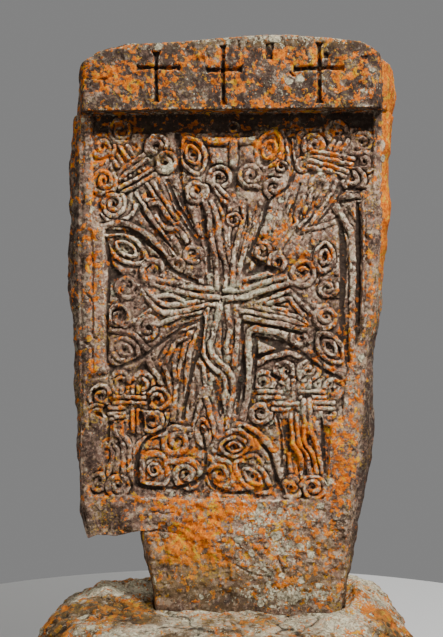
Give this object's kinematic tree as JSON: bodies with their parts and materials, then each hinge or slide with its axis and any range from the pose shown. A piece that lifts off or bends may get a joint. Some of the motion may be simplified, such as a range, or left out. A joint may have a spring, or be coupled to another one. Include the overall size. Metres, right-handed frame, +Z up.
{
  "type": "khachkar",
  "caption": "Standing memorial cross-stone: carved relief slab with a projecting cornice, set in a rough base stone",
  "frame": {"origin": "middle of the base stone's flat underside", "axes": "+Z up, +X to the right of someone who faces the carving, the carved front faces -Y"},
  "size_m": [1.17, 0.8299, 1.95],
  "materials": {
    "carved_stone": "weathered, lichen-covered",
    "rough_stone": "rough, lichen-covered"
  },
  "bodies": {
    "root": {"slab": "carved_stone", "base_stone": "rough_stone"}
  },
  "joints": []
}
